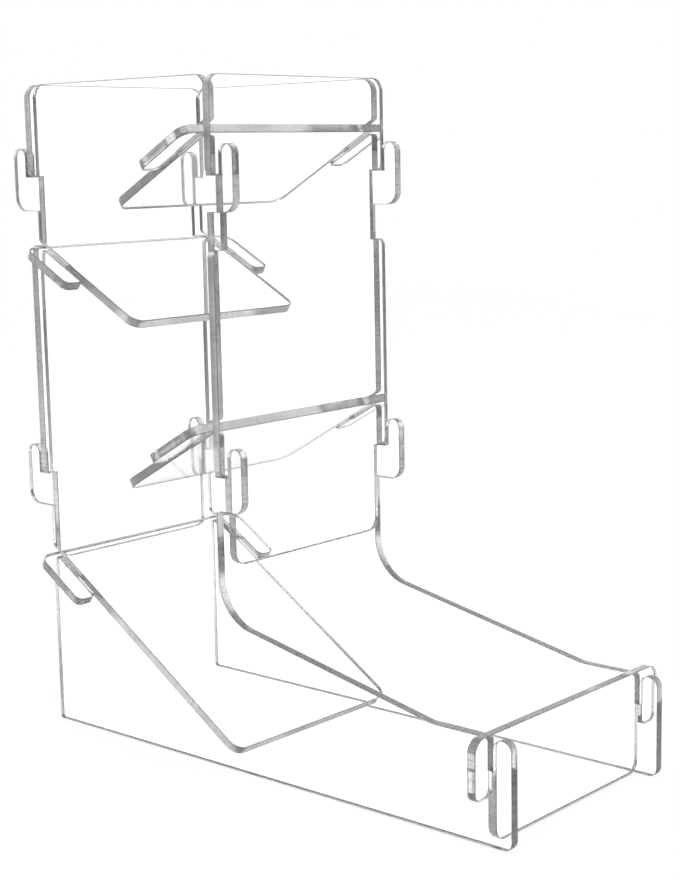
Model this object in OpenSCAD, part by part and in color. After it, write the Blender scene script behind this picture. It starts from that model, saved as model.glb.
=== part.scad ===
// Slot-together dice tower cut from clear acrylic sheet: two side panels, two hung panels,
// three baffles, a ramp and a tray fence. Dice drop in at the top and roll out into the tray.
// The front of the tower faces -Y, and the origin is at the middle of the footprint on the table.

/* [Sheet] */
// Thickness of the acrylic sheet
sheet_t = 3; // [2:0.5:4]
// Play between a plate and the slot that it slides into
slot_play = 0.2; // [0.1:0.05:0.5]
// Radius of the large rounded corners
corner_r = 4.5; // [2:0.5:6]
// Radius of the rounded lips at the mouths of slanted slots
mouth_r = 1.5; // [0.5:0.1:2]

/* [Tower] */
// Width over the two side panels
tower_w = 80; // [60:1:120]
// Depth of the tower, from its back edge to its front edge
tower_d = 82; // [70:1:120]
// Height of the tower
tower_h = 220; // [200:1:300]
// Height of the opening under the front panel, where the dice come out
exit_h = 66; // [64:1:76]

/* [Hooks] */
// Width of a hook's upright finger
hook_w = 6.2; // [4:0.1:9]
// Height of a hook's finger above its seat
hook_rise = 9.5; // [6:0.5:14]
// Height of the web that carries a hook, below its seat
hook_web = 11.5; // [8:0.5:14]
// Play between a hung panel and the edges that it lies against
panel_play = 0.2; // [0.1:0.05:0.5]
// Room between a hung panel and the fingers of its hooks
hook_room = 2; // [1:0.1:3]
// Distance of the upper seats below the top of the tower
upper_seat_drop = 30.5; // [26:0.5:36]
// Height of the lower seats at the front
front_seat_h = 95.5; // [90:0.5:104]
// Height of the lower seats at the back
back_seat_h = 88; // [82:0.5:100]

/* [Hung panels] */
// How far the front and back panels lap over the outside of the side panels
panel_lap = 1; // [0.5:0.1:4]
// Radius of the corners beside the notches
wing_r = 2.2; // [1:0.1:2.6]
// Room left under a web when a panel is lifted clear of its hooks
lift_room = 1; // [0.5:0.1:3]
// How far the back panel reaches below the mouths of the ramp's slots
back_cover = 4.5; // [2:0.5:8]

/* [Baffles] */
// Length of a baffle along its slope
baffle_len = 51; // [44:1:60]
// Slope of the baffles, in degrees
baffle_slope = 29; // [24:1:36]
// Length of the slanted slots in the side panels
slot_len = 15; // [11:0.5:18]
// Length of the free finger outside a side panel
finger_len = 10.5; // [8:0.5:14]
// How far baffle and ramp ears reach outside the side panels
ear_lap = 8; // [6.5:0.5:11]
// How far the upper ends of baffles and ramp stay inside the edges of the side panels
end_set = 0.8; // [0.2:0.1:2]
// Radius of the rounded tips of the fingers on ears
finger_r = 2.6; // [1:0.1:3]
// Distance of the top baffle's slots below the top of the tower
top_baffle_drop = 15.5; // [13:0.5:17]
// Distance of the middle baffle's slots below the top of the tower
middle_baffle_drop = 54; // [52:0.5:62]
// Height of the lower baffle's slots above the lower front seats
lower_baffle_rise = 16.5; // [14:0.5:24]

/* [Ramp] */
// Height of the ramp's slots in the back edges
ramp_h = 60.5; // [54:0.5:66]
// Slope of the ramp, in degrees
ramp_slope = 33; // [28:1:40]
// Gap between the ramp's low end and the table
ramp_gap = 3.6; // [1:0.1:6]

/* [Tray] */
// Length of the tray, from the front of the tower to the front of the tray hooks
tray_len = 114; // [90:1:150]
// Height of the tray walls at the front
wall_h = 32.3; // [26:0.1:36]
// Height at which the sloping top of a tray wall meets the tower
wall_back_h = 50; // [44:1:56]
// Length of the level stretch at the front of a tray wall
level_len = 28; // [20:1:40]
// Radius of the sweep between the tower and the tray wall
sweep_r = 15; // [8:1:18]
// Width of a tray hook
tray_hook_w = 6.6; // [4:0.1:9]
// Depth of the slot that the fence drops into
fence_slot = 9.6; // [6:0.1:14]
// How far the fence stands above the tray hooks
fence_rise = 1.2; // [0.2:0.1:4]
// Length of the fence's fingers below the seat
fence_finger = 7.5; // [5:0.5:12]
// Gap between the fence and the table
fence_gap = 0.8; // [0.4:0.1:3]
// Radius of the lower front corner of a side panel
toe_r = 3; // [1:0.5:6]
// Radius of the lower back corner of a side panel
heel_r = 1; // [0.5:0.5:3]

/* [Hidden] */
$fn = 96;
clear = [0.90, 0.93, 0.94, 0.45];

// A hook's slot takes a panel with play behind it and room in front; its finger stands beyond the slot.
hook_slot = panel_play + sheet_t + hook_room;
hook_reach = hook_slot + hook_w;
// Hooks are rounded over almost their whole width, which leaves a short flat at the tip.
tip_flat = 0.2;
// How far beyond a corner its rounding starts, and how far the arc of a rounding crosses the edges.
sliver_start = 0.1;
arc_cross = 0.003;
// Slanted slots and the fence slot are a sheet wide, plus play.
slot_w = sheet_t + slot_play;
half_w = tower_w / 2;
// Faces beside a side panel: outside it, and inside it.
outside_x = half_w + slot_play / 2;
inside_x = half_w - sheet_t - slot_play / 2;
ear_x = half_w + ear_lap;

// Depths run forward from the tower's back edge, as on the side panel's drawing.
tray_d = tower_d + tray_len;
back_y = (tray_d - hook_reach) / 2;
upper_seat_h = tower_h - upper_seat_drop;
top_baffle_h = tower_h - top_baffle_drop;
middle_baffle_h = tower_h - middle_baffle_drop;
lower_baffle_h = front_seat_h + lower_baffle_rise;
fence_seat_h = wall_h - fence_slot;
fence_back_d = tray_d - tray_hook_w - slot_w;

// The ramp runs down its slope until the lower edge of its end is just above the table.
ramp_len = (ramp_h - ramp_gap - sheet_t / 2 * cos(ramp_slope)) / sin(ramp_slope);
// A notch is as tall as the web and the lift that frees the panel from the hook.
notch_h = hook_web + hook_rise + 2 * lift_room;

function flat_point(corner) = [corner[0], corner[1]];
function unit(v) = v / norm(v);
// Positive where the outline a, b, c turns left, as it does at the outer corners.
function turn(a, b, c) = (b[0] - a[0]) * (c[1] - b[1]) - (b[1] - a[1]) * (c[0] - b[0]);
function reversed(list) = [for (i = [len(list) - 1:-1:0]) list[i]];
// Corners turned over to the other side, and listed so that they still run anticlockwise.
function flipped(corners) = [for (corner = reversed(corners)) [-corner[0], corner[1], corner[2]]];
// Right half of an outline, from the bottom to the top, and its mirror image back down.
function mirrored(half) = concat(half, flipped(half));

// Sliver between the sharp corner b and its rounding, cut from outer corners and added to inner ones.
// It starts beyond the corner, and its arc crosses both edges, so that no thread of sheet is left.
module corner_sliver(a, b, c) {
    corner = flat_point(b);
    to_a = unit(flat_point(a) - corner);
    to_c = unit(flat_point(c) - corner);
    to_centre = unit(to_a + to_c);
    half_angle = acos(to_a * to_c) / 2;
    reach = b[2] / tan(half_angle);
    difference() {
        polygon([corner - to_centre * sliver_start, corner + to_a * reach, corner + to_c * reach]);
        translate(corner + to_centre * b[2] / sin(half_angle)) circle(r = b[2] + arc_cross);
    }
}

// Closed outline through corners [across, up, radius], listed anticlockwise.
module outline(corners) {
    count = len(corners);
    difference() {
        union() {
            polygon([for (corner = corners) flat_point(corner)]);
            for (i = [0:count - 1]) rounding(corners, i, -1);
        }
        for (i = [0:count - 1]) rounding(corners, i, 1);
    }
}

// Sliver of corner i, where the outline turns the given way and the corner has a radius.
module rounding(corners, i, way) {
    count = len(corners);
    a = corners[(i + count - 1) % count];
    b = corners[i];
    c = corners[(i + 1) % count];
    if (b[2] > 0 && turn(a, b, c) * way > 0) corner_sliver(a, b, c);
}

// Corners of a hook on the front edge at depth d, from its underside up to its seat.
function hook(d, seat) = [
    [d, seat - hook_web, 0],
    [d + hook_reach, seat - hook_web, corner_r],
    [d + hook_reach, seat + hook_rise, (hook_w - tip_flat) / 2],
    [d + hook_slot, seat + hook_rise, (hook_w - tip_flat) / 2],
    [d + hook_slot, seat, 0],
    [d, seat, 0]
];

// Corners of a slanted slot in the front edge at depth d, which opens at height h and runs down and back.
function slanted_slot(d, h, slope) =
    let (lip = slot_w / 2 / cos(slope))
    let (end_d = d - slot_len * cos(slope))
    let (end_h = h - slot_len * sin(slope))
    let (side_d = slot_w / 2 * sin(slope))
    let (side_h = slot_w / 2 * cos(slope))
    [
        [d, h - lip, mouth_r],
        [end_d + side_d, end_h - side_h, 0],
        [end_d - side_d, end_h + side_h, 0],
        [d, h + lip, mouth_r]
    ];

tray_corners = [
    [0, 0, heel_r],
    [tray_d, 0, toe_r],
    [tray_d, wall_h, (tray_hook_w - tip_flat) / 2],
    [tray_d - tray_hook_w, wall_h, (tray_hook_w - tip_flat) / 2],
    [tray_d - tray_hook_w, fence_seat_h, 0],
    [fence_back_d, fence_seat_h, 0],
    [fence_back_d, wall_h, mouth_r],
    [tray_d - level_len, wall_h, sweep_r],
    [tower_d, wall_back_h, sweep_r]
];
front_corners = concat(
    hook(tower_d, front_seat_h),
    slanted_slot(tower_d, lower_baffle_h, baffle_slope),
    hook(tower_d, upper_seat_h),
    slanted_slot(tower_d, top_baffle_h, baffle_slope)
);
top_corners = [[tower_d, tower_h, corner_r], [0, tower_h, corner_r]];
// The outline climbs the front edge and comes down the back one, so features at the back are flipped.
back_corners = concat(
    flipped(hook(0, upper_seat_h)),
    flipped(slanted_slot(0, middle_baffle_h, baffle_slope)),
    flipped(hook(0, back_seat_h)),
    flipped(slanted_slot(0, ramp_h, ramp_slope))
);

// Upright plate along the tower, with its outer or inner face at face_x and its sheet towards -X.
module side_plate(face_x) {
    translate([face_x, back_y, 0])
        rotate([90, 0, -90])
            linear_extrude(sheet_t)
                outline(concat(tray_corners, front_corners, top_corners, back_corners));
}

// Upright plate across the tower, with its rear face at depth rear_d.
module cross_plate(rear_d, half) {
    translate([0, back_y - rear_d, 0])
        rotate([90, 0, 0])
            linear_extrude(sheet_t)
                outline(mirrored(half));
}

// Panel that hangs on two pairs of hooks: narrow below the lower seats, and notched at the upper ones.
module hung_panel(rear_d, bottom_h, lower_seat) {
    wide_x = half_w + panel_lap;
    notch_low_h = upper_seat_h - notch_h;
    cross_plate(rear_d, [
        [inside_x, bottom_h, corner_r],
        [inside_x, lower_seat, 0],
        [wide_x, lower_seat, wing_r],
        [wide_x, notch_low_h, wing_r],
        [inside_x, notch_low_h, 0],
        [inside_x, upper_seat_h, 0],
        [wide_x, upper_seat_h, wing_r],
        [wide_x, tower_h, corner_r]
    ]);
}

// Slanted plate with ears that pass through the side panels' slots and straddle them outside.
// It starts at an edge at depth d and height h, and turn_z is 0 if it runs down to the front.
// Its upper end is set back along the slope, so that its square edge stays inside the side panels' edges.
module slanted_plate(d, h, slope, length, turn_z) {
    set_back = sheet_t / 2 * tan(slope) + end_set / cos(slope);
    finger_end = -slot_len - finger_len;
    translate([0, back_y - d, h])
        rotate([0, 0, turn_z])
            rotate([slope, 0, 0])
                linear_extrude(sheet_t, center = true)
                    outline(mirrored([
                        [inside_x, -length, corner_r],
                        [inside_x, -slot_len, 0],
                        [outside_x, -slot_len, 0],
                        [outside_x, finger_end, finger_r],
                        [ear_x, finger_end, finger_r],
                        [ear_x, -set_back, corner_r]
                    ]));
}

module left_side_panel() {
    color(clear) side_plate(-half_w + sheet_t);
}

module right_side_panel() {
    color(clear) side_plate(half_w);
}

module front_panel() {
    color(clear) hung_panel(tower_d + panel_play, exit_h, front_seat_h);
}

module back_panel() {
    color(clear) hung_panel(-panel_play - sheet_t, ramp_h - back_cover, back_seat_h);
}

module top_baffle() {
    color(clear) slanted_plate(tower_d, top_baffle_h, baffle_slope, baffle_len, 180);
}

module middle_baffle() {
    color(clear) slanted_plate(0, middle_baffle_h, baffle_slope, baffle_len, 0);
}

module lower_baffle() {
    color(clear) slanted_plate(tower_d, lower_baffle_h, baffle_slope, baffle_len, 180);
}

module ramp() {
    color(clear) slanted_plate(0, ramp_h, ramp_slope, ramp_len, 0);
}

// Low wall that drops into the tray hooks, with a finger down the outside of each side panel.
module tray_fence() {
    color(clear) cross_plate(fence_back_d + slot_play / 2, [
        [inside_x, fence_gap, corner_r],
        [inside_x, fence_seat_h, 0],
        [outside_x, fence_seat_h, 0],
        [outside_x, fence_seat_h - fence_finger, finger_r],
        [ear_x, fence_seat_h - fence_finger, finger_r],
        [ear_x, wall_h + fence_rise, corner_r]
    ]);
}

left_side_panel();
right_side_panel();
front_panel();
back_panel();
top_baffle();
middle_baffle();
lower_baffle();
ramp();
tray_fence();
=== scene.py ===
"""Clear acrylic dice tower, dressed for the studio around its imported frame.

Every plate of the tower is drawn flat from its corners, cut from the sheet, given fine rims and set in
its place. Polished faces stay clear, and the laser-cut edges carry the grey bands that outline the
tower.
"""

from __future__ import annotations

import logging
import math
from abc import ABC, abstractmethod
from dataclasses import dataclass, field
from enum import Enum

import bmesh
import bpy
from mathutils import Matrix, Vector

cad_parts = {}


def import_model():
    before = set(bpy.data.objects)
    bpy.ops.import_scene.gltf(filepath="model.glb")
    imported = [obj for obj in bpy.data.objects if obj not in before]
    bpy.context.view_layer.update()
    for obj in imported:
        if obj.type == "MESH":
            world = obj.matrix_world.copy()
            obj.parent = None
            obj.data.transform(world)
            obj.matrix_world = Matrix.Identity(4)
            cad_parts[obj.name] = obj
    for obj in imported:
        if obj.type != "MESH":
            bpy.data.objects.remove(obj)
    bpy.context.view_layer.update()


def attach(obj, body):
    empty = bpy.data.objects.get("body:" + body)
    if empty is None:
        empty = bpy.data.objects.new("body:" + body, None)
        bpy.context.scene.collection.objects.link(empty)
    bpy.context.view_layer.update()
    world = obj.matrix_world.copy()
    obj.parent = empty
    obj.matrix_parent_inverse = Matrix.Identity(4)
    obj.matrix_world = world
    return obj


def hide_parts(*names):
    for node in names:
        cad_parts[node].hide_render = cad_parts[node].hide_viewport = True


log = logging.getLogger("dice_tower")

Colour = tuple[float, float, float, float]
Triple = tuple[float, float, float]

MM = 0.001
SHEET_COORDINATES = "sheet"
QUARTER_TURN = math.pi / 2.0
WHITE: Colour = (1.0, 1.0, 1.0, 1.0)

# Sockets of a Mix node that is set to colours
MIX_FIRST = 6
MIX_SECOND = 7
MIX_RESULT = 2

# How upright the normal of a flat-lying plate's face is
BROAD_NORMAL = 0.99
CUT_NORMAL = 0.01


class Side(Enum):
    """Which side of the tower a piece is on, seen from the tray."""

    LEFT = "left"
    RIGHT = "right"


class Edge(Enum):
    """The edge of the tower that a plate slopes down from."""

    FRONT = "front"
    BACK = "back"


class Part(Enum):
    """Parts of a plate's surface, in the order of their finishes."""

    BROAD = 0
    CUT = 1
    RIM = 2
    # Cut surface next to the floor, with painted contact shadow
    RESTING = 3


@dataclass(frozen=True)
class Corner:
    """Corner of a flat outline, in millimetres on the sheet."""

    across: float
    up: float
    radius: float = 0.0

    def flat(self) -> Vector:
        """Return the corner as a point of the sheet, in metres."""
        return Vector((self.across, self.up, 0.0)) * MM

    def flipped(self) -> Corner:
        """Return the corner on the other side of the upright axis."""
        return Corner(-self.across, self.up, self.radius)


def flipped(corners: list[Corner]) -> list[Corner]:
    """Turn corners over to the other side.

    Args:
        corners: Corners in anticlockwise order.

    Returns:
        The turned corners, again in anticlockwise order.
    """
    return [corner.flipped() for corner in reversed(corners)]


def mirrored(half: list[Corner]) -> list[Corner]:
    """Close a symmetric outline.

    Args:
        half: The right half of the outline, from the bottom to the top.

    Returns:
        The right half and its mirror image.
    """
    return half + flipped(half)


def moved(x: float, y: float, z: float) -> Matrix:
    """Return the matrix, in metres, of a move that is given in millimetres."""
    return Matrix.Translation(Vector((x, y, z)) * MM)


# Finishes


class ShaderTree:
    """Small helper that places and joins shader nodes."""

    def __init__(self, tree: bpy.types.NodeTree) -> None:
        """Keep the tree and empty it."""
        self.tree = tree
        tree.nodes.clear()

    def add(self, kind: str, **settings: object) -> bpy.types.Node:
        """Add a node.

        Args:
            kind: The node's type name.
            **settings: Attributes of the node.

        Returns:
            The new node.
        """
        node = self.tree.nodes.new(kind)
        for key, value in settings.items():
            setattr(node, key, value)
        return node

    def join(self, source: bpy.types.NodeSocket, target: bpy.types.NodeSocket) -> None:
        """Join an output socket to an input socket."""
        self.tree.links.new(source, target)

    def math(self, operation: str, first: object, second: object) -> bpy.types.NodeSocket:
        """Add a Math node.

        Args:
            operation: The operation's name.
            first: A socket or a number.
            second: A socket or a number.

        Returns:
            The node's output socket.
        """
        node = self.add("ShaderNodeMath", operation=operation)
        for socket, value in zip(node.inputs, (first, second)):
            if isinstance(value, bpy.types.NodeSocket):
                self.join(value, socket)
            else:
                socket.default_value = value
        return node.outputs[0]

    def noise(self, place: bpy.types.NodeSocket, scale: float, detail: float) -> bpy.types.NodeSocket:
        """Add a Noise node.

        Args:
            place: The coordinates that it follows.
            scale: How fine the noise is.
            detail: How many finer layers it has.

        Returns:
            The node's value socket.
        """
        node = self.add("ShaderNodeTexNoise", noise_dimensions="3D")
        node.inputs["Scale"].default_value = scale
        node.inputs["Detail"].default_value = detail
        self.join(place, node.inputs["Vector"])
        return node.outputs[0]

    def spread(
        self, value: bpy.types.NodeSocket, low: float, high: float, **settings: object
    ) -> bpy.types.Node:
        """Add a Map Range node.

        Args:
            value: The value to spread.
            low: The value that becomes the lower end.
            high: The value that becomes the upper end.
            **settings: Attributes of the node.

        Returns:
            The node, which runs from 0 to 1 unless its own ends are set.
        """
        node = self.add("ShaderNodeMapRange", **settings)
        node.inputs["From Min"].default_value = low
        node.inputs["From Max"].default_value = high
        self.join(value, node.inputs["Value"])
        return node

    def blend(self, factor: bpy.types.NodeSocket, first: Colour, second: Colour) -> bpy.types.NodeSocket:
        """Add a Mix node between two colours.

        Args:
            factor: A socket that is 0 for the first colour and 1 for the second.
            first: The first colour.
            second: The second colour.

        Returns:
            The node's colour socket.
        """
        node = self.add("ShaderNodeMix", data_type="RGBA")
        node.inputs[MIX_FIRST].default_value = first
        node.inputs[MIX_SECOND].default_value = second
        self.join(factor, node.inputs["Factor"])
        return node.outputs[MIX_RESULT]


def new_group(name: str, inputs: list[tuple[str, float]], outputs: list[str]) -> bpy.types.NodeTree:
    """Make an empty shader node group with named sockets for numbers.

    Args:
        name: The group's name.
        inputs: Name and default value of each input.
        outputs: Name of each output.

    Returns:
        The new group.
    """
    group = bpy.data.node_groups.new(name, "ShaderNodeTree")
    for label, value in inputs:
        socket = group.interface.new_socket(label, in_out="INPUT", socket_type="NodeSocketFloat")
        socket.default_value = value
    for label in outputs:
        group.interface.new_socket(label, in_out="OUTPUT", socket_type="NodeSocketFloat")
    return group


@dataclass(frozen=True)
class CutMarks:
    """Shared effect: the laser's streaks across a cut, and slow changes of tone along it."""

    name: str = "cut_marks"
    streak_scale: float = 1100.0
    streak_detail: float = 2.0
    streak_share: float = 0.6
    fine_scale: float = 3200.0
    fine_detail: float = 1.0
    fine_share: float = 0.4
    tone_scale: float = 38.0
    tone_detail: float = 2.0
    low: float = 0.35
    high: float = 0.50
    usual_streaks: float = 0.5

    def group(self) -> bpy.types.NodeTree:
        """Build the node group.

        Returns:
            A group with a Tone output that changes along the cut and a Height output for the streaks.
        """
        if self.name in bpy.data.node_groups:
            return bpy.data.node_groups[self.name]
        group = new_group(self.name, [("Streaks", self.usual_streaks)], ["Tone", "Height"])
        tree = ShaderTree(group)
        given = tree.add("NodeGroupInput")
        result = tree.add("NodeGroupOutput")
        sheet = tree.add(
            "ShaderNodeAttribute", attribute_type="GEOMETRY", attribute_name=SHEET_COORDINATES
        )
        flat = tree.add("ShaderNodeVectorMath", operation="MULTIPLY")
        flat.inputs[1].default_value = (1.0, 1.0, 0.0)
        tree.join(sheet.outputs["Vector"], flat.inputs[0])
        coarse = tree.noise(flat.outputs[0], self.streak_scale, self.streak_detail)
        fine = tree.noise(flat.outputs[0], self.fine_scale, self.fine_detail)
        slow = tree.noise(flat.outputs[0], self.tone_scale, self.tone_detail)
        coarse_part = tree.math("MULTIPLY", coarse, self.streak_share)
        fine_part = tree.math("MULTIPLY", fine, self.fine_share)
        both = tree.math("ADD", coarse_part, fine_part)
        slow_tone = tree.spread(slow, self.low, self.high).outputs[0]
        streaks = tree.spread(both, self.low, self.high).outputs[0]
        tone = tree.add("ShaderNodeMix", data_type="FLOAT")
        tree.join(given.outputs["Streaks"], tone.inputs["Factor"])
        tree.join(slow_tone, tone.inputs["A"])
        tree.join(streaks, tone.inputs["B"])
        tree.join(tone.outputs["Result"], result.inputs["Tone"])
        depth = tree.add("ShaderNodeSeparateXYZ")
        tree.join(sheet.outputs["Vector"], depth.inputs[0])
        tree.join(tree.math("MULTIPLY", streaks, depth.outputs["Z"]), result.inputs["Height"])
        return group


@dataclass(frozen=True)
class HandlingHaze:
    """Shared effect: the faint wipe marks of a handled polished sheet."""

    name: str = "handling_haze"
    scale: float = 26.0
    detail: float = 4.0
    low: float = 0.5
    high: float = 0.72
    usual_clean: float = 0.0
    usual_marked: float = 0.05

    def group(self) -> bpy.types.NodeTree:
        """Build the node group.

        Returns:
            A group with a Haze output between its Clean and Marked inputs.
        """
        if self.name in bpy.data.node_groups:
            return bpy.data.node_groups[self.name]
        group = new_group(
            self.name, [("Clean", self.usual_clean), ("Marked", self.usual_marked)], ["Haze"]
        )
        tree = ShaderTree(group)
        given = tree.add("NodeGroupInput")
        result = tree.add("NodeGroupOutput")
        place = tree.add("ShaderNodeTexCoord")
        noise = tree.noise(place.outputs["Object"], self.scale, self.detail)
        marks = tree.spread(noise, self.low, self.high)
        tree.join(given.outputs["Clean"], marks.inputs["To Min"])
        tree.join(given.outputs["Marked"], marks.inputs["To Max"])
        tree.join(marks.outputs[0], result.inputs["Haze"])
        return group


@dataclass(frozen=True, kw_only=True)
class Finish(ABC):
    """What all finishes of the clear sheet share."""

    name: str
    clear: float
    ior: float = 1.49

    def material(self) -> bpy.types.Material:
        """Return the finish's material, made on first use."""
        if self.name in bpy.data.materials:
            return bpy.data.materials[self.name]
        material = bpy.data.materials.new(self.name)
        material.use_nodes = True
        tree = ShaderTree(material.node_tree)
        shader = tree.add("ShaderNodeBsdfPrincipled")
        shader.inputs["Transmission Weight"].default_value = self.clear
        shader.inputs["IOR"].default_value = self.ior
        self.shade(tree, shader)
        surface = tree.add("ShaderNodeOutputMaterial")
        tree.join(shader.outputs[0], surface.inputs["Surface"])
        return material

    @abstractmethod
    def shade(self, tree: ShaderTree, shader: bpy.types.Node) -> None:
        """Set what is particular to the finish.

        Args:
            tree: The material's nodes.
            shader: The material's surface shader.
        """


@dataclass(frozen=True, kw_only=True)
class PolishedFace(Finish):
    """Clear cast face of the sheet."""

    name: str = "acrylic_polished_face"
    clear: float = 1.0
    colour: Colour = WHITE
    clean: float = 0.0
    marked: float = 0.004

    def shade(self, tree: ShaderTree, shader: bpy.types.Node) -> None:
        """Set the face's colour and its faint haze.

        Args:
            tree: The material's nodes.
            shader: The material's surface shader.
        """
        shader.inputs["Base Color"].default_value = self.colour
        haze = tree.add("ShaderNodeGroup", node_tree=HandlingHaze().group())
        haze.inputs["Clean"].default_value = self.clean
        haze.inputs["Marked"].default_value = self.marked
        tree.join(haze.outputs["Haze"], shader.inputs["Roughness"])


@dataclass(frozen=True, kw_only=True)
class CutFinish(Finish):
    """What the finishes of cut surfaces share: a grey tone with the laser's streaks."""

    dark: Colour
    light: Colour
    streaks: float
    roughness: float = 0.2
    bump_mm: float = 0.0
    bump_strength: float = 0.4

    def shade(self, tree: ShaderTree, shader: bpy.types.Node) -> None:
        """Set the cut's tone, its gloss and, where it has any, the relief of its streaks.

        Args:
            tree: The material's nodes.
            shader: The material's surface shader.
        """
        shader.inputs["Roughness"].default_value = self.roughness
        marks = tree.add("ShaderNodeGroup", node_tree=CutMarks().group())
        marks.inputs["Streaks"].default_value = self.streaks
        tone = tree.blend(marks.outputs["Tone"], self.dark, self.light)
        tree.join(tone, shader.inputs["Base Color"])
        if self.bump_mm > 0.0:
            bump = tree.add("ShaderNodeBump")
            bump.inputs["Strength"].default_value = self.bump_strength
            bump.inputs["Distance"].default_value = self.bump_mm * MM
            tree.join(marks.outputs["Height"], bump.inputs["Height"])
            tree.join(bump.outputs[0], shader.inputs["Normal"])


@dataclass(frozen=True, kw_only=True)
class LaserCutEdge(CutFinish):
    """Cut edge of the sheet: nearly clear, with a grey tone and fine streaks across it."""

    name: str = "acrylic_laser_cut_edge"
    clear: float = 0.9
    dark: Colour = (0.28, 0.28, 0.285, 1.0)
    light: Colour = WHITE
    streaks: float = 0.65
    bump_mm: float = 0.04


@dataclass(frozen=True, kw_only=True)
class CutRim(CutFinish):
    """Fine rim between a polished face and a cut edge; its dark tone is painted shade for the little
    light the rim catches, with the laser's streaks across it.
    """

    name: str = "acrylic_cut_rim"
    clear: float = 0.7
    dark: Colour = (0.04, 0.04, 0.042, 1.0)
    light: Colour = (0.34, 0.34, 0.34, 1.0)
    streaks: float = 0.8


@dataclass(frozen=True, kw_only=True)
class ContactShadowEdge(CutRim):
    """Edge next to the floor, painted darker as a contact shadow, since little light gets under it."""

    name: str = "acrylic_contact_shadow_edge"
    clear: float = 0.3


# Plates


@dataclass(frozen=True)
class Sheet:
    """The stock that every plate is cut from, in millimetres."""

    thickness: float = 3.0
    play: float = 0.2
    corner_r: float = 4.5
    mouth_r: float = 1.5
    tip_flat: float = 0.2
    rim: float = 0.28
    rim_steps: int = 2
    # Cut surfaces below this height get painted contact shadow
    resting_h: float = 1.2
    arc_steps: int = 14
    longest_arc_step: float = 2.0
    slot: str = "clear_acrylic"

    @property
    def slot_w(self) -> float:
        """Return the width of a slot that takes a plate."""
        return self.thickness + self.play


def part_of(face: bmesh.types.BMFace) -> Part:
    """Tell the parts of a plate's surface apart by their normals.

    Args:
        face: A face of a plate that still lies flat.

    Returns:
        The part of the surface that the face belongs to.
    """
    tilt = abs(face.normal.z)
    if tilt > BROAD_NORMAL:
        return Part.BROAD
    return Part.CUT if tilt < CUT_NORMAL else Part.RIM


@dataclass
class Plate:
    """One flat plate: its outline on the sheet and its place in the tower."""

    node: str
    body: str
    corners: list[Corner]
    place: Matrix
    sheet: Sheet

    def reach(self, index: int) -> float:
        """Return how far the rounding of a corner reaches along its edges, in metres.

        Args:
            index: The corner's number.

        Returns:
            The distance from the sharp corner to the end of the rounding.
        """
        here = self.corners[index].flat()
        before = self.corners[index - 1].flat() - here
        after = self.corners[(index + 1) % len(self.corners)].flat() - here
        return self.corners[index].radius * MM / math.tan(before.angle(after) / 2.0)

    def cut(self) -> bmesh.types.BMesh:
        """Cut the plate from the sheet.

        Returns:
            The plate's mesh, still lying flat, with rounded corners and fine rims.
        """
        shape = bmesh.new()
        points = [shape.verts.new(corner.flat()) for corner in self.corners]
        shape.faces.new(points)
        for index, point in enumerate(points):
            if self.corners[index].radius > 0.0:
                bmesh.ops.bevel(
                    shape, geom=[point], offset=self.reach(index), offset_type="OFFSET",
                    affect="VERTICES", segments=self.sheet.arc_steps, profile=0.5, material=-1,
                )
        solid = bmesh.ops.extrude_face_region(shape, geom=shape.faces[:])
        raised = [item for item in solid["geom"] if isinstance(item, bmesh.types.BMVert)]
        bmesh.ops.translate(shape, verts=raised, vec=(0.0, 0.0, self.sheet.thickness * MM))
        bmesh.ops.recalc_face_normals(shape, faces=shape.faces[:])
        rims = [
            edge for edge in shape.edges
            if sum(part_of(face) is Part.BROAD for face in edge.link_faces) == 1
        ]
        bmesh.ops.bevel(
            shape, geom=rims, offset=self.sheet.rim * MM, offset_type="OFFSET",
            affect="EDGES", segments=self.sheet.rim_steps, profile=0.5, material=-1,
        )
        return shape

    def mark(self, shape: bmesh.types.BMesh) -> None:
        """Keep where each point lies on the sheet, and mark the parts of the surface.

        Args:
            shape: The plate's mesh, still lying flat.
        """
        thickness = self.sheet.thickness * MM
        arc_area = self.sheet.longest_arc_step * MM * thickness
        on_sheet = shape.verts.layers.float_vector.new(SHEET_COORDINATES)
        for point in shape.verts:
            point[on_sheet] = Vector((point.co.x, point.co.y, point.co.z / thickness))
        for face in shape.faces:
            part = part_of(face)
            face.material_index = part.value
            face.smooth = part is Part.CUT and face.calc_area() < arc_area

    def mark_contact_shadow(self, shape: bmesh.types.BMesh) -> None:
        """Mark the cut surface next to the floor, which is painted with contact shadow.

        Args:
            shape: The plate's mesh, in its place.
        """
        for face in shape.faces:
            near_floor = face.calc_center_median().z < self.sheet.resting_h * MM
            if near_floor and face.material_index != Part.BROAD.value:
                face.material_index = Part.RESTING.value

    def build(self) -> bpy.types.Object:
        """Build the plate in its place.

        Returns:
            The plate's object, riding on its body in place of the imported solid.
        """
        shape = self.cut()
        self.mark(shape)
        bmesh.ops.transform(shape, matrix=self.place, verts=shape.verts[:])
        self.mark_contact_shadow(shape)
        mesh = bpy.data.meshes.new(f"clear_{self.node}")
        shape.to_mesh(mesh)
        shape.free()
        piece = bpy.data.objects.new(f"clear_{self.node}", mesh)
        bpy.context.scene.collection.objects.link(piece)
        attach(piece, self.body)
        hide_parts(self.node)
        return piece

    def dress(self, piece: bpy.types.Object, finishes: dict[Part, Finish]) -> None:
        """Give a built plate its finishes.

        Args:
            piece: The plate's object.
            finishes: The finish of each part of the surface.
        """
        for part in Part:
            piece.data.materials.append(finishes[part].material())


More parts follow.
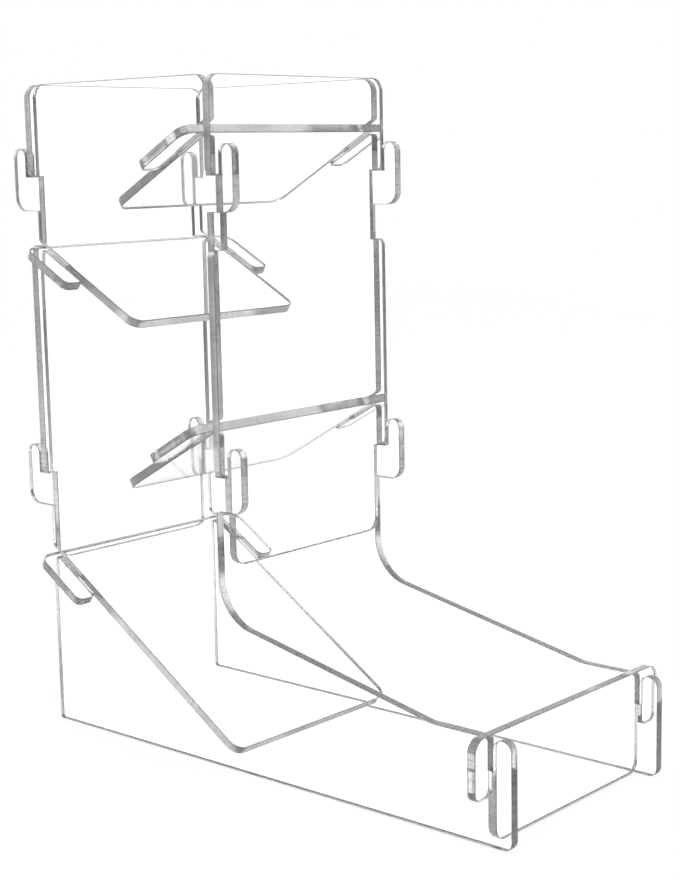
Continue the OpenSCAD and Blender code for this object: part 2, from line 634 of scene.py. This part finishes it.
@dataclass(frozen=True)
class Tower:
    """Sizes that several plates share, in millimetres; depths run forward from the back edge."""

    sheet: Sheet = field(default_factory=Sheet)
    width: float = 80.0
    depth: float = 82.0
    height: float = 220.0
    tray_len: float = 114.0
    wall_h: float = 32.3
    hook_w: float = 6.2
    hook_rise: float = 9.5
    hook_web: float = 11.5
    panel_play: float = 0.2
    hook_room: float = 2.0
    upper_seat_h: float = 189.5
    front_seat_h: float = 95.5
    back_seat_h: float = 88.0
    ear_lap: float = 8.0
    finger_r: float = 2.6
    slot_len: float = 15.0
    baffle_slope: float = 29.0
    top_baffle_h: float = 204.5
    middle_baffle_h: float = 166.0
    lower_baffle_h: float = 112.0
    ramp_h: float = 60.5
    ramp_slope: float = 33.0
    tray_hook_w: float = 6.6
    fence_slot: float = 9.6

    @property
    def half_w(self) -> float:
        """Return half the width over the side panels."""
        return self.width / 2.0

    @property
    def inside_x(self) -> float:
        """Return the half width of what fits between the side panels."""
        return self.half_w - self.sheet.thickness - self.sheet.play / 2.0

    @property
    def outside_x(self) -> float:
        """Return the distance from the middle to what straddles a side panel outside it."""
        return self.half_w + self.sheet.play / 2.0

    @property
    def ear_x(self) -> float:
        """Return the half width over the ears."""
        return self.half_w + self.ear_lap

    @property
    def hook_slot(self) -> float:
        """Return the width of the slot behind a hook's finger."""
        return self.panel_play + self.sheet.thickness + self.hook_room

    @property
    def tray_d(self) -> float:
        """Return the depth at the front of the tray."""
        return self.depth + self.tray_len

    @property
    def back_y(self) -> float:
        """Return where the tower's back edge is in the frame."""
        return (self.tray_d - self.hook_slot - self.hook_w) / 2.0

    @property
    def fence_seat_h(self) -> float:
        """Return the height of the fence's seats."""
        return self.wall_h - self.fence_slot

    @property
    def fence_back_d(self) -> float:
        """Return the depth of the back of the fence slots."""
        return self.tray_d - self.tray_hook_w - self.sheet.slot_w

    def across(self, rear_d: float) -> Matrix:
        """Return the place of an upright plate across the tower whose rear face is at a depth."""
        return moved(0.0, self.back_y - rear_d, 0.0) @ Matrix.Rotation(QUARTER_TURN, 4, "X")

    def along(self, face_x: float) -> Matrix:
        """Return the place of an upright plate along the tower whose +X face is at face_x."""
        upright = Matrix.Rotation(-QUARTER_TURN, 4, "Z") @ Matrix.Rotation(QUARTER_TURN, 4, "X")
        return moved(face_x, self.back_y, 0.0) @ upright

    def slanted(self, edge: Edge, height: float, slope: float) -> Matrix:
        """Return the place of a plate that slopes down into the tower from one of its edges.

        Args:
            edge: The edge that the plate starts at.
            height: Height of the plate's middle at that edge.
            slope: Slope in degrees.

        Returns:
            The place of the plate, whose length runs along -Y on the sheet.
        """
        start_d = self.depth if edge is Edge.FRONT else 0.0
        turned = Matrix.Rotation(math.pi if edge is Edge.FRONT else 0.0, 4, "Z")
        tilted = Matrix.Rotation(math.radians(slope), 4, "X")
        centred = moved(0.0, 0.0, -self.sheet.thickness / 2.0)
        return moved(0.0, self.back_y - start_d, height) @ turned @ tilted @ centred


@dataclass
class SidePanels:
    """The two side panels, which carry the hooks, the slots and the tray walls."""

    tower: Tower
    wall_back_h: float = 50.0
    level_len: float = 28.0
    sweep_r: float = 15.0
    toe_r: float = 3.0
    heel_r: float = 1.0

    def hook(self, depth: float, seat_h: float) -> list[Corner]:
        """Return the corners of a hook on the front edge.

        Args:
            depth: Depth of the edge.
            seat_h: Height of the hook's seat.

        Returns:
            The corners from the underside up to the seat.
        """
        tower = self.tower
        slot_d = depth + tower.hook_slot
        front_d = slot_d + tower.hook_w
        tip_h = seat_h + tower.hook_rise
        tip_r = (tower.hook_w - tower.sheet.tip_flat) / 2.0
        return [
            Corner(depth, seat_h - tower.hook_web),
            Corner(front_d, seat_h - tower.hook_web, tower.sheet.corner_r),
            Corner(front_d, tip_h, tip_r),
            Corner(slot_d, tip_h, tip_r),
            Corner(slot_d, seat_h),
            Corner(depth, seat_h),
        ]

    def slanted_slot(self, depth: float, height: float, slope: float) -> list[Corner]:
        """Return the corners of a slanted slot in the front edge.

        Args:
            depth: Depth of the edge.
            height: Height of the slot's mouth.
            slope: Slope of the slot, down and back, in degrees.

        Returns:
            The corners from the lower lip to the upper lip.
        """
        sheet = self.tower.sheet
        rise = math.sin(math.radians(slope))
        run = math.cos(math.radians(slope))
        half = sheet.slot_w / 2.0
        end_d = depth - self.tower.slot_len * run
        end_h = height - self.tower.slot_len * rise
        return [
            Corner(depth, height - half / run, sheet.mouth_r),
            Corner(end_d + half * rise, end_h - half * run),
            Corner(end_d - half * rise, end_h + half * run),
            Corner(depth, height + half / run, sheet.mouth_r),
        ]

    def outline(self) -> list[Corner]:
        """Return the panel's whole outline, with depth across the sheet."""
        tower = self.tower
        sheet = tower.sheet
        tip_r = (tower.tray_hook_w - sheet.tip_flat) / 2.0
        hook_back_d = tower.tray_d - tower.tray_hook_w
        tray = [
            Corner(0.0, 0.0, self.heel_r),
            Corner(tower.tray_d, 0.0, self.toe_r),
            Corner(tower.tray_d, tower.wall_h, tip_r),
            Corner(hook_back_d, tower.wall_h, tip_r),
            Corner(hook_back_d, tower.fence_seat_h),
            Corner(tower.fence_back_d, tower.fence_seat_h),
            Corner(tower.fence_back_d, tower.wall_h, sheet.mouth_r),
            Corner(tower.tray_d - self.level_len, tower.wall_h, self.sweep_r),
            Corner(tower.depth, self.wall_back_h, self.sweep_r),
        ]
        front = (
            self.hook(tower.depth, tower.front_seat_h)
            + self.slanted_slot(tower.depth, tower.lower_baffle_h, tower.baffle_slope)
            + self.hook(tower.depth, tower.upper_seat_h)
            + self.slanted_slot(tower.depth, tower.top_baffle_h, tower.baffle_slope)
        )
        top = [
            Corner(tower.depth, tower.height, sheet.corner_r),
            Corner(0.0, tower.height, sheet.corner_r),
        ]
        back = (
            flipped(self.hook(0.0, tower.upper_seat_h))
            + flipped(self.slanted_slot(0.0, tower.middle_baffle_h, tower.baffle_slope))
            + flipped(self.hook(0.0, tower.back_seat_h))
            + flipped(self.slanted_slot(0.0, tower.ramp_h, tower.ramp_slope))
        )
        return tray + front + top + back

    def plates(self) -> list[Plate]:
        """Return the two panels."""
        tower = self.tower
        outline = self.outline()
        faces = {Side.LEFT: -tower.half_w + tower.sheet.thickness, Side.RIGHT: tower.half_w}
        return [
            Plate(f"{side.value}_side_panel", "tower", outline, tower.along(face_x), tower.sheet)
            for side, face_x in faces.items()
        ]


@dataclass
class HungPanels:
    """The front and back panels, which hang on the hooks and lift off."""

    tower: Tower
    lap: float = 1.0
    neck_room: float = 1.9
    wing_r: float = 2.2
    lift_room: float = 1.0
    exit_h: float = 66.0
    back_cover: float = 4.5

    def outline(self, bottom_h: float, lower_seat_h: float) -> list[Corner]:
        """Return a panel's outline.

        Args:
            bottom_h: Height of the panel's lower edge.
            lower_seat_h: Height of the lower pair of seats.

        Returns:
            The outline, narrow below the lower seats and notched below the upper ones.
        """
        tower = self.tower
        sheet = tower.sheet
        wide_x = tower.half_w + self.lap
        neck_x = tower.half_w - sheet.thickness - self.neck_room
        notch_h = tower.upper_seat_h - tower.hook_web - tower.hook_rise - 2.0 * self.lift_room
        return mirrored([
            Corner(neck_x, bottom_h, sheet.corner_r),
            Corner(neck_x, lower_seat_h),
            Corner(wide_x, lower_seat_h, self.wing_r),
            Corner(wide_x, notch_h, self.wing_r),
            Corner(neck_x, notch_h),
            Corner(neck_x, tower.upper_seat_h),
            Corner(wide_x, tower.upper_seat_h, self.wing_r),
            Corner(wide_x, tower.height, sheet.corner_r),
        ])

    def plates(self) -> list[Plate]:
        """Return the two panels."""
        tower = self.tower
        front = self.outline(self.exit_h, tower.front_seat_h)
        front_d = tower.depth + tower.panel_play
        back = self.outline(tower.ramp_h - self.back_cover, tower.back_seat_h)
        back_d = -tower.panel_play - tower.sheet.thickness
        return [
            Plate("front_panel", "front_panel", front, tower.across(front_d), tower.sheet),
            Plate("back_panel", "back_panel", back, tower.across(back_d), tower.sheet),
        ]


@dataclass
class SlantedPlates:
    """The three baffles and the ramp, whose ears straddle the side panels."""

    tower: Tower
    baffle_len: float = 51.0
    finger_len: float = 10.5
    end_set: float = 0.8
    ramp_gap: float = 3.6

    def outline(self, length: float, slope: float) -> list[Corner]:
        """Return a slanted plate's outline.

        Args:
            length: Length along the slope.
            slope: Slope in degrees.

        Returns:
            The outline, with the upper end at the top of the sheet.
        """
        tower = self.tower
        angle = math.radians(slope)
        set_back = tower.sheet.thickness / 2.0 * math.tan(angle) + self.end_set / math.cos(angle)
        finger_end = -tower.slot_len - self.finger_len
        return mirrored([
            Corner(tower.inside_x, -length, tower.sheet.corner_r),
            Corner(tower.inside_x, -tower.slot_len),
            Corner(tower.outside_x, -tower.slot_len),
            Corner(tower.outside_x, finger_end, tower.finger_r),
            Corner(tower.ear_x, finger_end, tower.finger_r),
            Corner(tower.ear_x, -set_back, tower.sheet.corner_r),
        ])

    def ramp_len(self) -> float:
        """Return the length at which the ramp ends just above the floor."""
        slope = math.radians(self.tower.ramp_slope)
        half = self.tower.sheet.thickness / 2.0 * math.cos(slope)
        drop = self.tower.ramp_h - self.ramp_gap - half
        return drop / math.sin(slope)

    def plates(self) -> list[Plate]:
        """Return the baffles from the top down, and the ramp."""
        tower = self.tower
        baffle = self.outline(self.baffle_len, tower.baffle_slope)
        ramp = self.outline(self.ramp_len(), tower.ramp_slope)
        rows = [
            ("top_baffle", baffle, Edge.FRONT, tower.top_baffle_h, tower.baffle_slope),
            ("middle_baffle", baffle, Edge.BACK, tower.middle_baffle_h, tower.baffle_slope),
            ("lower_baffle", baffle, Edge.FRONT, tower.lower_baffle_h, tower.baffle_slope),
            ("ramp", ramp, Edge.BACK, tower.ramp_h, tower.ramp_slope),
        ]
        return [
            Plate(node, "tower", corners, tower.slanted(edge, height, slope), tower.sheet)
            for node, corners, edge, height, slope in rows
        ]


@dataclass
class TrayFence:
    """The low wall that drops into the tray hooks and lifts out."""

    tower: Tower
    rise: float = 1.2
    finger: float = 7.5
    gap: float = 0.8

    def plates(self) -> list[Plate]:
        """Return the fence."""
        tower = self.tower
        finger_h = tower.fence_seat_h - self.finger
        corners = mirrored([
            Corner(tower.inside_x, self.gap, tower.sheet.corner_r),
            Corner(tower.inside_x, tower.fence_seat_h),
            Corner(tower.outside_x, tower.fence_seat_h),
            Corner(tower.outside_x, finger_h, tower.finger_r),
            Corner(tower.ear_x, finger_h, tower.finger_r),
            Corner(tower.ear_x, tower.wall_h + self.rise, tower.sheet.corner_r),
        ])
        place = tower.across(tower.fence_back_d + tower.sheet.play / 2.0)
        return [Plate("tray_fence", "tray_fence", corners, place, tower.sheet)]


# Studio


@dataclass
class Studio:
    """Pale floor, soft light and the camera, in metres and degrees."""

    floor_size: float = 6.0
    floor_drop: float = 0.0003
    floor_colour: Colour = (0.93, 0.93, 0.93, 1.0)
    floor_painted_shade: Colour = (0.08, 0.08, 0.08, 1.0)
    floor_whiteness: float = 0.9
    # Painted pool of light on the floor for light other than by eye, with painted shade away from it
    pool_at: Triple = (0.673, 0.597, 0.0)
    pool_size: Triple = (0.45, 1.3, 1.0)
    pool_inside: float = 0.9
    pool_outside: float = 1.5
    whiter_outside: float = 2.0
    bright_side: Triple = (0.748, 0.663, 0.0)
    dark_from: float = 0.25
    bright_from: float = 0.85
    dark_light: float = 0.02
    bright_light: float = 1.4
    soft_light: float = 0.75
    made_up: float = 0.35
    light_bounces: int = 32
    key_at: Triple = (-0.7, -0.5, 1.1)
    key_aim: Triple = (0.0, 0.0, 0.1)
    key_size: float = 0.9
    key_watts: float = 9.0
    camera_at: Triple = (-0.4179, -0.3773, 0.1942)
    camera_yaw: float = -48.44
    camera_pitch: float = -9.23
    camera_roll: float = 1.15
    lens: float = 71.3
    nearest: float = 0.01

    def floor_material(self) -> bpy.types.Material:
        """Make the floor's material: white by eye, and for other light a painted pool of light with
        painted shade away from it.
        """
        material = bpy.data.materials.new("pale_floor")
        material.use_nodes = True
        tree = ShaderTree(material.node_tree)
        place = tree.add("ShaderNodeTexCoord")
        pool = tree.add("ShaderNodeMapping", vector_type="TEXTURE")
        pool.inputs["Location"].default_value = self.pool_at
        pool.inputs["Rotation"].default_value = (0.0, 0.0, math.radians(self.camera_yaw))
        pool.inputs["Scale"].default_value = self.pool_size
        tree.join(place.outputs["Object"], pool.inputs["Vector"])
        distance = tree.add("ShaderNodeVectorMath", operation="LENGTH")
        tree.join(pool.outputs[0], distance.inputs[0])
        away = tree.spread(
            distance.outputs["Value"], self.pool_inside, self.pool_outside,
            interpolation_type="SMOOTHSTEP",
        ).outputs[0]
        matt = tree.add("ShaderNodeBsdfDiffuse")
        # Painted pool of light: the floor's colour in the pool and painted shade away from it
        tree.join(tree.blend(away, self.floor_colour, self.floor_painted_shade), matt.inputs["Color"])
        glow = tree.add("ShaderNodeEmission")
        tree.join(self.whiteness(tree), glow.inputs["Strength"])
        rise = tree.math("ADD", tree.math("MULTIPLY", away, self.whiter_outside), self.floor_whiteness)
        share = tree.math("MINIMUM", rise, 1.0)
        white = tree.add("ShaderNodeMixShader")
        tree.join(tree.math("MULTIPLY", self.seen_directly(tree), share), white.inputs[0])
        tree.join(matt.outputs[0], white.inputs[1])
        tree.join(glow.outputs[0], white.inputs[2])
        surface = tree.add("ShaderNodeOutputMaterial")
        tree.join(white.outputs[0], surface.inputs["Surface"])
        return material

    def build_floor(self) -> bpy.types.Object:
        """Build the floor, which looks white straight through the plates and keeps a faint shadow."""
        shape = bmesh.new()
        bmesh.ops.create_grid(shape, x_segments=1, y_segments=1, size=self.floor_size / 2.0)
        bmesh.ops.translate(shape, verts=shape.verts[:], vec=(0.0, 0.0, -self.floor_drop))
        mesh = bpy.data.meshes.new("floor")
        shape.to_mesh(mesh)
        shape.free()
        mesh.materials.append(self.floor_material())
        floor = bpy.data.objects.new("floor", mesh)
        bpy.context.scene.collection.objects.link(floor)
        return floor

    def seen_directly(self, tree: ShaderTree) -> bpy.types.NodeSocket:
        """Add the test for rays that see the backdrop by eye, in a mirror or straight through a plate.

        Args:
            tree: The shader that needs the test.

        Returns:
            A socket that is 1 for such rays, and 0 for light that was reflected on its way through.
        """
        path = tree.add("ShaderNodeLightPath")
        unreflected = tree.math("LESS_THAN", path.outputs["Glossy Depth"], 1.0)
        through = tree.math("MULTIPLY", path.outputs["Is Transmission Ray"], unreflected)
        mirror = tree.math("MAXIMUM", path.outputs["Is Camera Ray"], path.outputs["Is Reflection Ray"])
        return tree.math("MAXIMUM", mirror, through)

    def whiteness(self, tree: ShaderTree) -> bpy.types.NodeSocket:
        """Add the strength of the white surroundings.

        Args:
            tree: The shader that needs the strength.

        Returns:
            A socket that is 1 by eye, and more through a plate to make up for what plates reflect.
        """
        path = tree.add("ShaderNodeLightPath")
        extra = tree.math("MULTIPLY", path.outputs["Is Transmission Ray"], self.made_up)
        return tree.math("ADD", extra, 1.0)

    def build_world(self) -> None:
        """Build the white backdrop, and the brighter and darker sides of the studio."""
        world = bpy.data.worlds.new("studio")
        bpy.context.scene.world = world
        world.use_nodes = True
        tree = ShaderTree(world.node_tree)
        around = tree.add("ShaderNodeTexCoord")
        toward = tree.add("ShaderNodeVectorMath", operation="DOT_PRODUCT")
        toward.inputs[1].default_value = self.bright_side
        tree.join(around.outputs["Generated"], toward.inputs[0])
        level = tree.spread(
            toward.outputs["Value"], self.dark_from, self.bright_from, interpolation_type="SMOOTHSTEP"
        )
        level.inputs["To Min"].default_value = self.dark_light
        level.inputs["To Max"].default_value = self.bright_light
        path = tree.add("ShaderNodeLightPath")
        scattered = tree.math("MULTIPLY", path.outputs["Is Diffuse Ray"], self.soft_light)
        soft = tree.add("ShaderNodeBackground")
        tree.join(tree.math("MAXIMUM", level.outputs[0], scattered), soft.inputs["Strength"])
        backdrop = tree.add("ShaderNodeBackground")
        tree.join(self.whiteness(tree), backdrop.inputs["Strength"])
        for light in (soft, backdrop):
            light.inputs["Color"].default_value = WHITE
        mix = tree.add("ShaderNodeMixShader")
        tree.join(self.seen_directly(tree), mix.inputs[0])
        tree.join(soft.outputs[0], mix.inputs[1])
        tree.join(backdrop.outputs[0], mix.inputs[2])
        output = tree.add("ShaderNodeOutputWorld")
        tree.join(mix.outputs[0], output.inputs["Surface"])

    def build_key(self) -> bpy.types.Object:
        """Build the soft key lamp, which points at the tower."""
        light = bpy.data.lights.new("key", "AREA")
        light.shape = "SQUARE"
        light.size = self.key_size
        light.energy = self.key_watts
        lamp = bpy.data.objects.new("key", light)
        lamp.location = self.key_at
        line = Vector(self.key_aim) - Vector(self.key_at)
        lamp.rotation_euler = line.to_track_quat("-Z", "Y").to_euler()
        bpy.context.scene.collection.objects.link(lamp)
        return lamp

    def build_camera(self) -> bpy.types.Object:
        """Build the camera at the photograph's viewing angle."""
        data = bpy.data.cameras.new("camera")
        data.lens = self.lens
        data.clip_start = self.nearest
        camera = bpy.data.objects.new("camera", data)
        aim = (
            Matrix.Rotation(math.radians(self.camera_yaw), 4, "Z")
            @ Matrix.Rotation(math.radians(self.camera_pitch), 4, "X")
            @ Matrix.Rotation(math.radians(self.camera_roll), 4, "Y")
            @ Matrix.Rotation(QUARTER_TURN, 4, "X")
        )
        camera.matrix_world = Matrix.Translation(self.camera_at) @ aim
        bpy.context.scene.collection.objects.link(camera)
        bpy.context.scene.camera = camera
        return camera

    def build(self) -> None:
        """Build the floor, the light and the camera."""
        self.build_floor()
        self.build_world()
        self.build_key()
        self.build_camera()
        scene = bpy.context.scene
        scene.view_settings.view_transform = "Standard"
        scene.cycles.max_bounces = self.light_bounces
        scene.cycles.transmission_bounces = self.light_bounces
        scene.cycles.glossy_bounces = self.light_bounces


def main() -> None:
    """Load the frame and build the tower and the studio around it."""
    logging.basicConfig(level=logging.INFO, format="%(name)s: %(message)s")
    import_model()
    tower = Tower()
    finishes = {
        Part.BROAD: PolishedFace(),
        Part.CUT: LaserCutEdge(),
        Part.RIM: CutRim(),
        Part.RESTING: ContactShadowEdge(),
    }
    for assembly in (SidePanels(tower), HungPanels(tower), SlantedPlates(tower), TrayFence(tower)):
        for plate in assembly.plates():
            piece = plate.build()
            plate.dress(piece, finishes)
            log.info("%s: %d faces on %s", piece.name, len(piece.data.polygons), plate.body)
    Studio().build()


if __name__ == "__main__":
    main()
